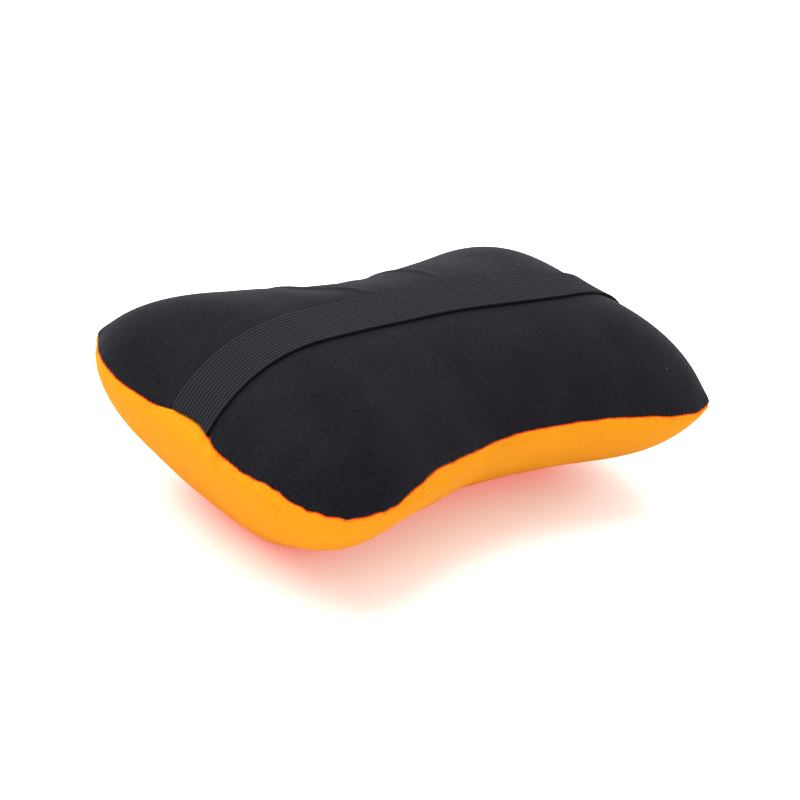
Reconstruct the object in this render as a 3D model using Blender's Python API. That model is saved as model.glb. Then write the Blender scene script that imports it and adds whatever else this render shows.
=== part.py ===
"""Camp pillow: two stretch-knit panels sewn round a bag of micro beads, with an elastic strap over the top.

Metres, +Z up, +X along the pillow, origin on the ground under its middle.
The seam runs round the sides. Both panels fold in there and are stitched back to back,
and the strap's two ends are caught between them at the short sides.
"""

import bmesh
import bpy
import numpy as np

# Overall sizes
LENGTH = 0.300
WIDTH = 0.184  # across the lobes, at their widest
WAIST = 0.146  # across the middle, where the long sides draw in
CROWN_Z = 0.1015  # top of the pillow above the ground
GIRTH_Z = 0.0595  # height of the widest line
BELLY_SINK = 0.0025  # how much of the round belly the ground presses flat

# Shape of the stuffed form
OUTLINE_SQUARENESS = 4.3  # 2 is an ellipse, higher is boxier
SPINE_SHARE = 0.52  # part of the length that keeps a full crown
CROWN_FULLNESS = (2.3, 0.63)
BELLY_FULLNESS = (2.0, 0.75)
CORNER_LIFT = 0.0040  # the four corners curl up

# Seam
SEAM_RISE = 0.14  # how far above the widest line the seam runs, as an angle
SEAM_CORNER_DIP = 0.08
STRAP_PULL = 0.09  # the strap draws the seam up at its two ends
STRAP_PULL_REACH = 0.028
ALLOWANCE = 0.010  # cloth folded in past the seam
ROLL_RADIUS = 0.0018

# Cloth, strap and thread
PANEL_THICKNESS = 0.0012
LINER_THICKNESS = 0.0006
STRAP_WIDTH = 0.0254
STRAP_THICKNESS = 0.0015
SEAM_THREAD_RADIUS = 0.00045
OVERLOCK_THICKNESS = 0.0006
OVERLOCK_BITE = 0.0030  # how far the edge stitching reaches over the cloth
TACK_LENGTH = 0.018
TACK_WIDTH = 0.0020
TACK_HEIGHT = 0.0008
CLOSING_LENGTH = 0.060  # hand-closed part of the back seam, where the beads went in

# Clearances
GAP = 0.0003
STRAP_EDGE_CLEARANCE = 0.0015
SEAM_SPREAD = 0.012  # length over which the allowances close again beside the strap
LINER_LIFT = 0.0021  # room between the allowance and the liner, for the edge stitching
LINER_REACH = 0.0070  # the liner's own seam lies this far inside the allowance
LINER_ALLOWANCE = 0.0040

# Fineness of the surfaces
QUARTER_STEPS = 12
CORNER_DENSITY = 0.05  # this much extra length of outline for each radian that it bends
TOP_STEPS = 7
BELLY_STEPS = 7
WALL_STEPS = 1
ROLL_STEPS = 2
STRAP_ROWS = 5
STRAP_END_STEPS = 9
STRAP_TOP_STEPS = 9

UP = np.array([0.0, 0.0, 1.0])
HALF_LENGTH = LENGTH / 2
HALF_STRAP = STRAP_WIDTH / 2
STRAP_SLOT = STRAP_THICKNESS + 2 * GAP
LINER_INSET = PANEL_THICKNESS + GAP
FILL_INSET = LINER_INSET + LINER_THICKNESS + GAP

COLOURS = {
    "top_panel": ((0.023, 0.023, 0.028), 0.85),
    "bottom_panel": ((0.95, 0.39, 0.022), 0.80),
    "elastic_strap": ((0.036, 0.037, 0.042), 0.75),
    "thread_orange": ((0.80, 0.16, 0.02), 0.60),
    "thread_black": ((0.02, 0.02, 0.022), 0.60),
    "liner": ((0.80, 0.80, 0.78), 0.70),
    "beads": ((0.92, 0.92, 0.90), 0.55),
}


# ---------------------------------------------------------------- the stuffed form


def smooth(share):
    """0 to 1 with soft ends."""
    share = np.clip(share, 0.0, 1.0)
    return share * share * (3 - 2 * share)


def rounded_box(turn):
    """A box with softly rounded corners, 1 each way from its middle, and how far each point is into a lobe."""
    power = 2 / OUTLINE_SQUARENESS
    across = np.sign(np.sin(turn)) * np.abs(np.sin(turn)) ** power
    along = np.sign(np.cos(turn)) * np.abs(np.cos(turn)) ** power
    return along, across, np.sin(np.pi / 2 * np.abs(along)) ** 2


def lobe_swell():
    """How much the ends swell beyond the waist, so that the lobes come out WIDTH across at their widest."""
    _, across, lobe = rounded_box(np.linspace(0.01, np.pi / 2, 4001))
    low, high = 0.0, WIDTH
    for _ in range(50):
        middle = (low + high) / 2
        widest = np.max((WAIST / 2 + middle * lobe) * across)
        low, high = (middle, high) if widest < WIDTH / 2 else (low, middle)
    return (low + high) / 2


SWELL = lobe_swell()


def outline(turn):
    """The widest line seen from above, at the angle turn."""
    along, across, lobe = rounded_box(turn)
    return HALF_LENGTH * along, (WAIST / 2 + SWELL * lobe) * across


def surface(turn, tilt):
    """A point of the outer skin: tilt is 90 degrees on the crown's spine, 0 on the widest line, -90 under."""
    turn, tilt = np.broadcast_arrays(turn, tilt)
    reach = np.clip(np.cos(tilt), 0.0, 1.0)
    edge_x, edge_y = outline(turn)
    spine = np.clip(edge_x, -SPINE_SHARE * HALF_LENGTH, SPINE_SHARE * HALF_LENGTH)
    x = spine + (edge_x - spine) * reach
    y = edge_y * reach
    crown = (1 - reach ** CROWN_FULLNESS[0]) ** CROWN_FULLNESS[1]
    belly = (1 - reach ** BELLY_FULLNESS[0]) ** BELLY_FULLNESS[1]
    above = tilt >= 0
    full = np.where(above, crown, belly)
    corner = (x / HALF_LENGTH) ** 4 * (2 * y / WIDTH) ** 4
    girth = GIRTH_Z + CORNER_LIFT * corner * (1 - full)
    z = np.where(above, girth + (CROWN_Z - girth) * crown, girth - (girth + BELLY_SINK) * belly)
    return np.stack([x, y, np.maximum(z, 0.0)], -1)


def outward(turn, tilt):
    """The skin's outward direction at that point."""
    turn, tilt = np.broadcast_arrays(np.asarray(turn, float), np.asarray(tilt, float))
    step = 1e-4
    lean = np.clip(tilt, -np.pi / 2 + 2 * step, np.pi / 2 - 2 * step)
    around = surface(turn + step, lean) - surface(turn - step, lean)
    upward = surface(turn, lean + step) - surface(turn, lean - step)
    normal = np.cross(around, upward)
    normal /= np.maximum(np.linalg.norm(normal, axis=-1, keepdims=True), 1e-15)
    on_spine = (np.abs(tilt) > np.pi / 2 - 1e-3)[..., None]
    return np.where(on_spine, np.sign(tilt)[..., None] * UP, normal)


def inset(turn, tilt, depth):
    """The skin moved inwards by depth."""
    return surface(turn, tilt) - depth * outward(turn, tilt)


def turn_at_across(across):
    """The turn in the first quarter at which the outline, still on the short side, is this far across."""
    dense = np.linspace(0, np.pi / 2, 4001)
    y = outline(dense)[1]
    rising = slice(0, np.argmax(y) + 1)
    return np.interp(across, y[rising], dense[rising])


def turn_at_along(along):
    """The turn in the first quarter at which the outline is this far along."""
    dense = np.linspace(0, np.pi / 2, 4001)
    return np.interp(-np.abs(along), -outline(dense)[0], dense)


def ring_turns():
    """The stations round the pillow: even steps of length and bend, and one just outside each strap edge."""
    dense = np.linspace(0, np.pi / 2, 4001)
    x, y = outline(dense)
    heading = np.unwrap(np.arctan2(np.gradient(y), np.gradient(x)))
    walked = np.cumsum(np.hypot(np.gradient(x), np.gradient(y)) + CORNER_DENSITY * np.abs(np.gradient(heading)))
    strap_side = turn_at_across(HALF_STRAP + STRAP_EDGE_CLEARANCE)
    start = np.interp(strap_side, dense, walked)
    rest = np.interp(np.linspace(start, walked[-1], QUARTER_STEPS), walked, dense)
    quarter = np.concatenate([[0], rest])
    half = np.concatenate([quarter, np.pi - quarter[-2::-1]])
    return np.concatenate([half, np.pi + half[1:-1]])


def seam_tilt(turn):
    """Where on the skin the seam runs."""
    across = outline(turn)[1]
    at_ends = np.abs(np.cos(turn)) > np.cos(np.pi / 4)
    pull = np.where(at_ends, np.exp(-((across / STRAP_PULL_REACH) ** 4)), 0.0)
    return SEAM_RISE + SEAM_CORNER_DIP * np.cos(4 * turn) + STRAP_PULL * pull


def seam_slot(turn):
    """Space between the two allowances: a hair, but a strap's thickness where the strap goes in."""
    edge_x, across = outline(turn)
    beside = np.abs(across) - (HALF_STRAP + 1.2 * STRAP_EDGE_CLEARANCE)
    closed = np.where(np.abs(edge_x) > SPINE_SHARE * HALF_LENGTH, smooth(beside / SEAM_SPREAD), 1.0)
    return STRAP_SLOT + (GAP - STRAP_SLOT) * closed


def tilt_at_height(turn, height, low, high):
    """The tilt between low and high at which the skin is at that height."""
    low, high = np.broadcast_to(low, turn.shape).copy(), np.broadcast_to(high, turn.shape).copy()
    for _ in range(40):
        middle = (low + high) / 2
        under = surface(turn, middle)[..., 2] < height
        low = np.where(under, middle, low)
        high = np.where(under, high, middle)
    return (low + high) / 2


class Seam:
    """The seam at a row of stations: its point, the way in, and where each panel's fold begins."""

    def __init__(self, turn):
        self.turn = np.asarray(turn, float)
        tilt = seam_tilt(self.turn)
        self.point = surface(self.turn, tilt)
        flat = outward(self.turn, np.zeros_like(self.turn)) * [1, 1, 0]
        self.inward = -flat / np.linalg.norm(flat, axis=-1, keepdims=True)
        self.slot = seam_slot(self.turn)
        rise = self.slot / 2 + ROLL_RADIUS
        self.top_tilt = tilt_at_height(self.turn, self.point[:, 2] + rise, 0.0, np.pi / 2)
        self.low_tilt = tilt_at_height(self.turn, self.point[:, 2] - rise, -np.pi / 2, np.pi / 2)
        self.top_fold = surface(self.turn, self.top_tilt)
        self.low_fold = surface(self.turn, self.low_tilt)

    def at(self, depth, height):
        """Points this far in from the seam line, and this far above it."""
        height = np.broadcast_to(height, self.turn.shape)
        return self.point + self.inward * np.reshape(depth, (-1, 1)) + UP * height[:, None]

    def depth_of(self, points):
        return np.sum((points - self.point) * self.inward, -1)


# ---------------------------------------------------------------- making meshes


def add_piece(name, points, faces, look):
    """A named object with its own material, from points and faces."""
    mesh = bpy.data.meshes.new(name)
    mesh.from_pydata([tuple(p) for p in points], [], [tuple(f) for f in faces])
    shape = bmesh.new()
    shape.from_mesh(mesh)
    bmesh.ops.remove_doubles(shape, verts=shape.verts, dist=1e-6)
    bmesh.ops.dissolve_degenerate(shape, dist=1e-7, edges=shape.edges)
    bmesh.ops.triangulate(shape, faces=shape.faces)
    bmesh.ops.recalc_face_normals(shape, faces=shape.faces)
    shape.to_mesh(mesh)
    shape.free()
    mesh.shade_smooth()
    mesh.set_sharp_from_angle(angle=np.radians(50))
    piece = bpy.data.objects.new(name, mesh)
    bpy.context.scene.collection.objects.link(piece)
    colour, roughness = COLOURS[look]
    material = bpy.data.materials.new(name)
    material.use_nodes = True
    shader = material.node_tree.nodes["Principled BSDF"]
    shader.inputs["Base Color"].default_value = (*colour, 1)
    shader.inputs["Roughness"].default_value = roughness
    shader.inputs["Metallic"].default_value = 0.0
    mesh.materials.append(material)
    return piece


def loft(name, rows, look, round_stations=True, round_section=False):
    """A closed body through rows of points. Each row is one line round the pillow, rows follow the section."""
    grid = np.array(rows)
    n_rows, n_stations = grid.shape[:2]
    faces = []
    for i in range(n_rows if round_section else n_rows - 1):
        for j in range(n_stations if round_stations else n_stations - 1):
            i2, j2 = (i + 1) % n_rows, (j + 1) % n_stations
            faces.append([i * n_stations + j, i * n_stations + j2, i2 * n_stations + j2, i2 * n_stations + j])
    if not round_stations:
        faces.append([i * n_stations for i in range(n_rows)])
        faces.append([i * n_stations + n_stations - 1 for i in reversed(range(n_rows))])
    return add_piece(name, grid.reshape(-1, 3), faces, look)


def liner_tilt(seam, side):
    """The tilt at which the liner leaves the panel, above or below the allowances."""
    rise = seam.slot / 2 + PANEL_THICKNESS + LINER_LIFT + 2 * ROLL_RADIUS
    return tilt_at_height(seam.turn, seam.point[:, 2] + side * rise, -np.pi / 2, np.pi / 2)


def dome_rows(seam, side, depth):
    """Rows from the spine down (side 1) or up (side -1) to where the liner leaves the panel.

    Panel, liner and beads share these rows, so their facets lie parallel and the gaps between them hold.
    """
    steps = TOP_STEPS if side > 0 else BELLY_STEPS
    spine = side * np.pi / 2
    edge = liner_tilt(seam, side)
    return [inset(seam.turn, spine + (edge - spine) * k / steps, depth) for k in range(steps + 1)]


def wall_rows(seam, side, depth):
    """The panel's last rows, from where the liner leaves it to where its own fold begins."""
    start = liner_tilt(seam, side)
    end = seam.top_tilt if side > 0 else seam.low_tilt
    return [inset(seam.turn, start + (end - start) * k / WALL_STEPS, depth) for k in range(1, WALL_STEPS + 1)]


def fold_rows(seam, side, depth):
    """The quarter roll from a panel's wall to its allowance, then the allowance's end. depth is into the cloth."""
    fold = seam.top_fold if side > 0 else seam.low_fold
    centre = fold + seam.inward * ROLL_RADIUS
    radius = ROLL_RADIUS - depth
    rows = []
    for k in range(1, ROLL_STEPS + 1):
        angle = np.pi / 2 * k / ROLL_STEPS
        rows.append(centre - seam.inward * radius * np.cos(angle) - side * UP * radius * np.sin(angle))
    rows.append(seam.at(ALLOWANCE, side * (seam.slot / 2 + depth)))
    return rows


# ---------------------------------------------------------------- the pieces


def make_panel(name, seam, side):
    """One knit panel: a dome, folded in at the seam and ending in its allowance."""
    faces = []
    for depth in (0.0, PANEL_THICKNESS):
        faces.append(dome_rows(seam, side, depth) + wall_rows(seam, side, depth) + fold_rows(seam, side, depth))
    return loft(name, faces[0] + faces[1][::-1], name)


def liner_edge(seam, side, depth):
    """The liner's way over the panels' allowances to its own seam further in."""
    over = seam.slot / 2 + PANEL_THICKNESS + LINER_LIFT
    own = ALLOWANCE + LINER_REACH
    fold = seam.top_fold if side > 0 else seam.low_fold
    start = seam.depth_of(fold) + LINER_INSET + depth + 2 * ROLL_RADIUS
    return [
        seam.at(start, side * (over + depth)),
        seam.at(ALLOWANCE + GAP + OVERLOCK_THICKNESS + 2 * GAP, side * (over + depth)),
        seam.at(own, side * (GAP / 2 + depth)),
        seam.at(own + LINER_ALLOWANCE, side * (GAP / 2 + depth)),
    ]


def make_liner(name, seam, side):
    """One half of the inner bag that keeps the beads in."""
    faces = []
    for depth in (0.0, LINER_THICKNESS):
        faces.append(dome_rows(seam, side, LINER_INSET + depth) + liner_edge(seam, side, depth))
    return loft(name, faces[0] + faces[1][::-1], "liner")


def make_fill(seam):
    """The micro beads as one mass, with a groove round it where the seams stand in."""
    rows = []
    for side in (1, -1):
        half = dome_rows(seam, side, FILL_INSET)
        half += liner_edge(seam, side, LINER_THICKNESS + GAP)[:3]
        half.append(seam.at(ALLOWANCE + LINER_REACH + LINER_ALLOWANCE + GAP, side * 2 * (LINER_THICKNESS + GAP)))
        rows += half if side > 0 else half[::-1]
    return loft("bead_fill", rows, "beads")


def strap_end(sign, across, steps):
    """Turn and tilt of the strap's line down one end of the pillow, from the top to the seam fold."""
    side_width = outline(turn_at_along(SPINE_SHARE * HALF_LENGTH))[1]
    last = Seam(np.array([turn_at_across(abs(across))])).top_tilt[0]
    first = np.arccos(abs(across) / side_width)
    tilt = first + (last - first) * np.linspace(0, 1, steps + 1)
    turn = np.sign(across) * turn_at_across(abs(across) / np.cos(tilt))
    return (turn, tilt) if sign > 0 else (np.pi - turn, tilt)


def strap_line(across, lift):
    """The strap's line at one place across its width: tail, roll, up the end, along the top and down again."""
    reach = SPINE_SHARE * HALF_LENGTH
    ends = []
    for sign in (-1, 1):
        turn, tilt = strap_end(sign, across, STRAP_END_STEPS)
        climb = inset(turn, tilt, -lift)
        seam = Seam(turn[-1:])
        along = np.array([-sign, 0.0, 0.0])
        centre = seam.top_fold[0] + along * ROLL_RADIUS
        roll = []
        for k in range(1, 5):
            angle = np.pi / 2 * k / 4
            roll.append(centre - (along * np.cos(angle) + UP * np.sin(angle)) * (ROLL_RADIUS + lift))
        tail = np.array([seam.point[0][0], across, roll[-1][2]]) + along * ALLOWANCE
        ends.append(np.vstack([climb, roll, [tail]]))
    x = np.linspace(-reach, reach, STRAP_TOP_STEPS + 1)[1:-1]
    turn = turn_at_along(x)
    tilt = np.arccos(abs(across) / outline(turn)[1])
    turn = np.where(x < 0, np.pi - turn, turn)
    turn = -turn if across < 0 else turn
    top = inset(turn, tilt, -lift)
    return np.vstack([ends[0][::-1], top, ends[1]])


def make_strap():
    """The elastic strap: a flat band that lies on the crown and ends between the allowances."""
    across = np.linspace(-HALF_STRAP, HALF_STRAP, STRAP_ROWS)
    under = [strap_line(y, GAP) for y in across]
    over = [strap_line(y, GAP + STRAP_THICKNESS) for y in across]
    return loft("elastic_strap", under + over[::-1], "elastic_strap", round_stations=False, round_section=True)


def make_seam_thread(name, seam, look):
    """Thread lying in the groove between the two folds, as a thin round rope."""
    reach = ROLL_RADIUS + SEAM_THREAD_RADIUS + GAP
    drop = seam.slot / 2 + ROLL_RADIUS
    out = np.sqrt(np.maximum(reach**2 - drop**2, 0.0))
    folds = np.minimum(seam.depth_of(seam.top_fold), seam.depth_of(seam.low_fold))
    depth = folds + ROLL_RADIUS - out
    rows = []
    for angle in np.linspace(0, 2 * np.pi, 6, endpoint=False):
        rows.append(seam.at(depth + SEAM_THREAD_RADIUS * np.cos(angle), SEAM_THREAD_RADIUS * np.sin(angle)))
    return loft(name, rows, look, round_stations=False, round_section=True)


def make_overlock(seam):
    """Edge stitching wrapped round both allowances all the way round."""
    inside = seam.slot / 2 + PANEL_THICKNESS + GAP
    outside = inside + OVERLOCK_THICKNESS
    mouth = ALLOWANCE - OVERLOCK_BITE
    section = [
        (mouth, outside),
        (ALLOWANCE + GAP + OVERLOCK_THICKNESS, outside),
        (ALLOWANCE + GAP + OVERLOCK_THICKNESS, -outside),
        (mouth, -outside),
        (mouth, -inside),
        (ALLOWANCE + GAP, -inside),
        (ALLOWANCE + GAP, inside),
        (mouth, inside),
    ]
    rows = [seam.at(depth, height) for depth, height in section]
    return loft("overlock_thread", rows, "thread_black", round_section=True)


def make_tack(name, sign):
    """The bar of dense stitches that holds one strap end down on the allowances."""
    seam = Seam(np.array([0.0 if sign > 0 else np.pi]))
    base = seam.slot[0] / 2 + PANEL_THICKNESS + GAP
    middle = seam.at(ALLOWANCE - OVERLOCK_BITE - GAP - TACK_WIDTH / 2, base + TACK_HEIGHT / 2)[0]
    shape = bmesh.new()
    bmesh.ops.create_cube(shape, size=1.0)
    bmesh.ops.scale(shape, vec=(TACK_WIDTH, TACK_LENGTH, TACK_HEIGHT), verts=shape.verts)
    bmesh.ops.translate(shape, vec=tuple(middle), verts=shape.verts)
    points = [tuple(v.co) for v in shape.verts]
    faces = [[v.index for v in f.verts] for f in shape.faces]
    shape.free()
    return add_piece(name, points, faces, "thread_black")


def stations_between(turns, start, end):
    """The ring's stations between two turns, and the two ends themselves."""
    inside = [t for t in turns if start + 1e-3 < t < end - 1e-3]
    return np.array([start, *inside, end])


def build():
    for old in list(bpy.data.objects):
        bpy.data.objects.remove(old, do_unlink=True)

    turns = ring_turns()
    ring = Seam(turns)
    make_panel("top_panel", ring, 1)
    make_panel("bottom_panel", ring, -1)
    make_liner("liner_upper", ring, 1)
    make_liner("liner_lower", ring, -1)
    make_fill(ring)
    make_strap()
    make_overlock(ring)
    make_tack("strap_tack_left", -1)
    make_tack("strap_tack_right", 1)

    # The seam's thread shows between the strap's ends. The back run is in two, with the hand closing between.
    strap_side = turn_at_across(HALF_STRAP + SEAM_SPREAD + 2 * STRAP_EDGE_CLEARANCE)
    beside_closing = turn_at_along((CLOSING_LENGTH + GAP) / 2)
    closing = turn_at_along((CLOSING_LENGTH - GAP) / 2)
    front = stations_between(turns, np.pi + strap_side, 2 * np.pi - strap_side)
    back_right = stations_between(turns, strap_side, beside_closing)
    back_left = stations_between(turns, np.pi - beside_closing, np.pi - strap_side)
    hand_closed = stations_between(turns, closing, np.pi - closing)
    make_seam_thread("seam_thread_front", Seam(front), "thread_orange")
    make_seam_thread("seam_thread_back_right", Seam(back_right), "thread_orange")
    make_seam_thread("seam_thread_back_left", Seam(back_left), "thread_orange")
    make_seam_thread("closing_stitch", Seam(hand_closed), "thread_orange")


build()
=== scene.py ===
# %% [markdown]
# # A camp pillow
# A small travel pillow: a black stretch-knit panel on top, a bright orange one underneath, filled with
# micro beads, and a wide elastic strap over the crown that holds it to a chair or a rolled mat. The
# imported model is loaded first. Every piece made below sits in the same place, and all but the strap
# ride on the pillow's body.

# %% Load the frame
import math

import bmesh
import bpy
import numpy as np
from mathutils import Matrix, Vector


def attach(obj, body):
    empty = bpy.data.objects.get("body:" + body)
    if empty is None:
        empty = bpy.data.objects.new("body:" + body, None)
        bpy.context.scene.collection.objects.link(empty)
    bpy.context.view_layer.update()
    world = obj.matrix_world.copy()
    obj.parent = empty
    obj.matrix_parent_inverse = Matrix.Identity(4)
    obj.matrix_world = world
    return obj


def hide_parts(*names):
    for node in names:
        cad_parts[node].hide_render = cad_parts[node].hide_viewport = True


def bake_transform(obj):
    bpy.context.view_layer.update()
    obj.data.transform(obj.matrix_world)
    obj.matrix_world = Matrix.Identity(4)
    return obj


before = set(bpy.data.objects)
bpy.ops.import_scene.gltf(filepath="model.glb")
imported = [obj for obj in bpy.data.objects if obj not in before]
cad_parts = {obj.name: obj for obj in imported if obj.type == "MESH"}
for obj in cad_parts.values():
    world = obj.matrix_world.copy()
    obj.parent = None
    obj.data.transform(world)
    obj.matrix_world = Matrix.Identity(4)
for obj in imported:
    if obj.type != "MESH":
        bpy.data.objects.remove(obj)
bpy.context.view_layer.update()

print("nodes:", sorted(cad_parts))

# %% [markdown]
# ## Camera
# A long lens, nearly 80 mm, from the pillow's left front corner and a little above. The camera is rolled
# by about 14 degrees, so the pillow climbs from left to right as if it were held slightly tilted.

# %% Camera
MILLIMETRE = 0.001
VIEW_AZIMUTH = math.radians(-49.69)
VIEW_ELEVATION = math.radians(26.29)
VIEW_ROLL = math.radians(13.59)
VIEW_DISTANCE = 0.85404
VIEW_TARGET = Vector((-0.00407, 0.00254, 0.04569))
LENS = 77.56

back = Vector((
    math.sin(VIEW_AZIMUTH) * math.cos(VIEW_ELEVATION),
    -math.cos(VIEW_AZIMUTH) * math.cos(VIEW_ELEVATION),
    math.sin(VIEW_ELEVATION),
))
level_right = (-back).cross(Vector((0, 0, 1))).normalized()
level_up = level_right.cross(-back)
right = level_right * math.cos(VIEW_ROLL) + level_up * math.sin(VIEW_ROLL)
up = level_up * math.cos(VIEW_ROLL) - level_right * math.sin(VIEW_ROLL)

camera = bpy.data.objects.new("camera", bpy.data.cameras.new("camera"))
bpy.context.scene.collection.objects.link(camera)
camera.data.lens = LENS
camera.data.sensor_width = 36
camera.data.clip_start = 0.01
camera.data.clip_end = 50
turned = Matrix((right, up, back)).transposed().to_4x4()
camera.matrix_world = Matrix.Translation(VIEW_TARGET + back * VIEW_DISTANCE) @ turned
bpy.context.scene.camera = camera
print("lens", LENS, "mm from", [round(x, 3) for x in camera.matrix_world.translation])

# %% [markdown]
# ## The table
# A plain white table that reaches past every edge of the view. The pillow's own orange colours it close
# by. It is lit a little from below, as a light table is, which keeps that shade pale.

# %% Table
TABLE_SIZE = 30
TABLE_GLOW = 0.03

bpy.ops.object.select_all(action="DESELECT")
bpy.ops.mesh.primitive_plane_add(size=TABLE_SIZE, location=(0, 0, 0))
floor = bpy.context.active_object
floor.name = "floor"
floor_paint = bpy.data.materials.new("white_table")
floor_paint.use_nodes = True
shader = floor_paint.node_tree.nodes["Principled BSDF"]
shader.inputs["Base Color"].default_value = (0.93, 0.93, 0.93, 1)
shader.inputs["Roughness"].default_value = 0.9
shader.inputs["Specular IOR Level"].default_value = 0.1
shader.inputs["Emission Color"].default_value = (1.0, 0.8, 1.0, 1)
shader.inputs["Emission Strength"].default_value = TABLE_GLOW
floor.data.materials.append(floor_paint)
print("table", TABLE_SIZE, "m across")

# %% [markdown]
# ## The light
# An even white sky, as in a light tent, gives the table its full white, so the only shade is close to the
# pillow. One lamp high up behind makes the crown lighter than the sides. It is a sun lamp with a wide
# angle: that is as soft as a big softbox, and has no edge that could show in the render.

# %% Sky and lamp
SKY = 1.5
OVERHEAD = 4.5
SOFTNESS = math.radians(80)
LAMP_PLACE = (-0.18, 0.55, 1.0)

sky = bpy.data.worlds.new("light_tent")
bpy.context.scene.world = sky
sky.use_nodes = True
sky.node_tree.nodes["Background"].inputs["Color"].default_value = (1, 1, 1, 1)
sky.node_tree.nodes["Background"].inputs["Strength"].default_value = SKY

lamp = bpy.data.objects.new("overhead_softbox", bpy.data.lights.new("overhead_softbox", "SUN"))
bpy.context.scene.collection.objects.link(lamp)
lamp.data.energy = OVERHEAD
lamp.data.angle = SOFTNESS
lamp.location = LAMP_PLACE
lamp.rotation_euler = (Vector((0, 0, 0)) - lamp.location).to_track_quat("-Z", "Y").to_euler()
bpy.context.scene.view_settings.view_transform = "Standard"
print("sky", SKY, "overhead", OVERHEAD)

# %% [markdown]
# ## The stuffed form
# Seen from above the pillow is a soft rectangle whose long sides draw in at the waist. A superellipse
# gives the soft corners. From its widest line the skin climbs to a spine along the crown and falls to the
# belly, and the ground presses the belly flat. The form has the frame's own rules and sizes, so the looks
# fit the frame. Cloth and strap are a shade thinner than in the frame, which keeps them clear of each
# other.

# %% Sizes
HALF_LENGTH = 0.150
WIDTH = 0.184
WAIST = 0.146
CROWN_Z = 0.1015
GIRTH_Z = 0.0595
BELLY_SINK = 0.0025
SQUARENESS = 4.3
SPINE = 0.52 * HALF_LENGTH
CROWN_FULLNESS = (2.3, 0.63)
BELLY_FULLNESS = (2.0, 0.75)
CORNER_LIFT = 0.0040
SEAM_RISE = 0.14
SEAM_CORNER_DIP = 0.08
STRAP_PULL = 0.09
STRAP_PULL_REACH = 0.028
CLOTH = 0.0010
ROLL = 0.0013
ALLOWANCE = 0.0095
SEAM_GAP = 0.00012
STRAP_WIDTH = 0.0254
STRAP_THICKNESS = 0.0013
STITCH = 0.0028
UP = np.array([0.0, 0.0, 1.0])
print("stitches", STITCH, "m long, cloth", CLOTH, "m thick")

# %% [markdown]
# ## The outline from above
# An ellipse is too round for a sewn cushion, and a box is too sharp. A superellipse lies between them: a
# power below one of sine and cosine pushes the corners out. The long sides are then drawn in at the
# waist, and a short search finds how far the lobes must swell to come out at the full width.


# %% The outline
def rounded_box(turn):
    """A box with soft corners, 1 each way, and how far each point is into a lobe."""
    power = 2 / SQUARENESS
    across = np.sign(np.sin(turn)) * np.abs(np.sin(turn)) ** power
    along = np.sign(np.cos(turn)) * np.abs(np.cos(turn)) ** power
    return along, across, np.sin(np.pi / 2 * np.abs(along)) ** 2


def lobe_swell():
    """How much the lobes swell past the waist, so that they come out WIDTH across."""
    _, across, lobe = rounded_box(np.linspace(0.01, np.pi / 2, 4001))
    low, high = 0.0, WIDTH
    for _ in range(50):
        middle = (low + high) / 2
        widest = np.max((WAIST / 2 + middle * lobe) * across)
        low, high = (middle, high) if widest < WIDTH / 2 else (low, middle)
    return (low + high) / 2


SWELL = lobe_swell()


def outline(turn):
    along, across, lobe = rounded_box(turn)
    return HALF_LENGTH * along, (WAIST / 2 + SWELL * lobe) * across


print("lobes swell by", round(SWELL, 4), "m")

# %% [markdown]
# ## Walking round the outline
# Stitches and rings of mesh are spaced by length and not by angle. So one quarter of the outline is
# measured in small steps, closest together where it bends most, and the other three are the same quarter
# mirrored.

# %% Walking round the outline
share = np.linspace(0, 1, 20001)
QUARTER_TURN = np.pi / 2 * share**3 / (share**3 + (1 - share) ** 3)
quarter_x, quarter_y = outline(QUARTER_TURN)
QUARTER_WALK = np.concatenate([[0], np.cumsum(np.hypot(np.diff(quarter_x), np.diff(quarter_y)))])
QUARTER = QUARTER_WALK[-1]
SPINE_WALK = np.interp(-SPINE, -quarter_x, QUARTER_WALK)
rising = slice(0, np.argmax(quarter_y) + 1)
print("round the pillow:", round(4 * QUARTER, 4), "m")


def turn_of(walk):
    """The turn after walking this far round the outline, from the middle of the right end, anticlockwise."""
    walk = np.mod(walk, 4 * QUARTER)
    part = np.minimum(walk // QUARTER, 3).astype(int)
    inside = walk - part * QUARTER
    inside = np.where(part % 2 == 1, QUARTER - inside, inside)
    turn = np.interp(inside, QUARTER_WALK, QUARTER_TURN)
    return np.choose(part, [turn, np.pi - turn, np.pi + turn, 2 * np.pi - turn])
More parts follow.
